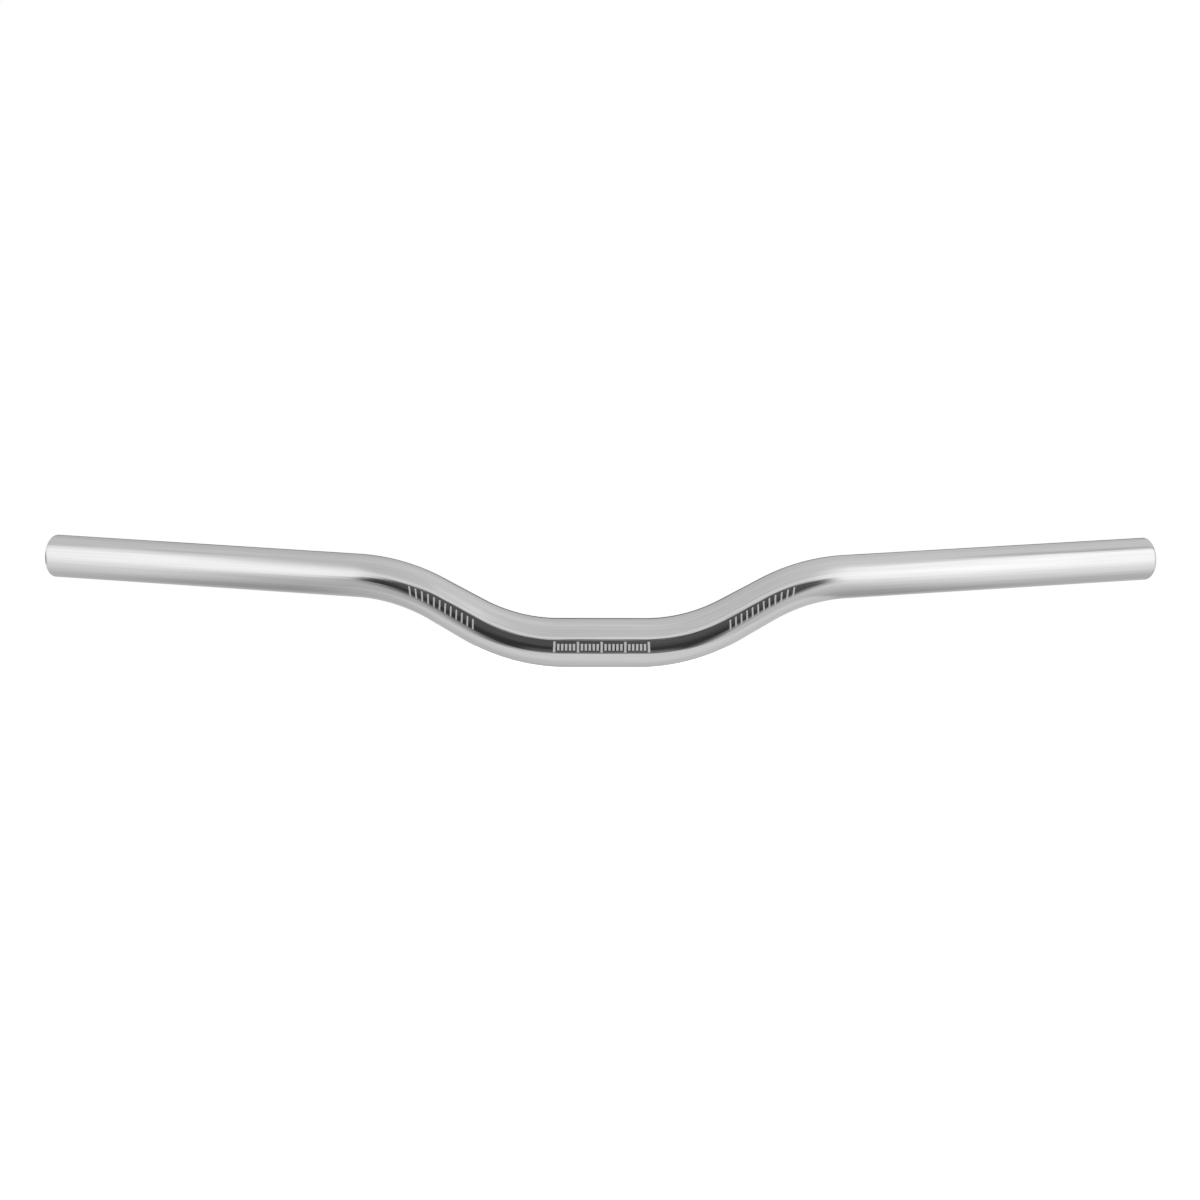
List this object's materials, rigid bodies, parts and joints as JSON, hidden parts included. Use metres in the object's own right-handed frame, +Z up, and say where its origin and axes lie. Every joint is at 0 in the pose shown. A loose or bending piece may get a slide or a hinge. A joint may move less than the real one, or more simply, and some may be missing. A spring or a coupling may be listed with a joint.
{
  "type": "riser handlebar",
  "caption": "Bicycle riser handlebar: one hollow aluminium tube with a thicker straight clamp section, risers bent up on both sides and swept-back ends for the grips.",
  "frame": {"origin": "centre of the straight clamp section, on the tube's axis", "axes": "+X along the clamp section to the rider's right-hand grip, +Y back towards the rider, +Z up as fitted on a bicycle"},
  "size_m": [0.58, 0.0497, 0.064],
  "materials": {
    "polished_aluminium": "polished"
  },
  "bodies": {
    "root": {"handlebar_tube": "polished_aluminium"}
  },
  "joints": []
}
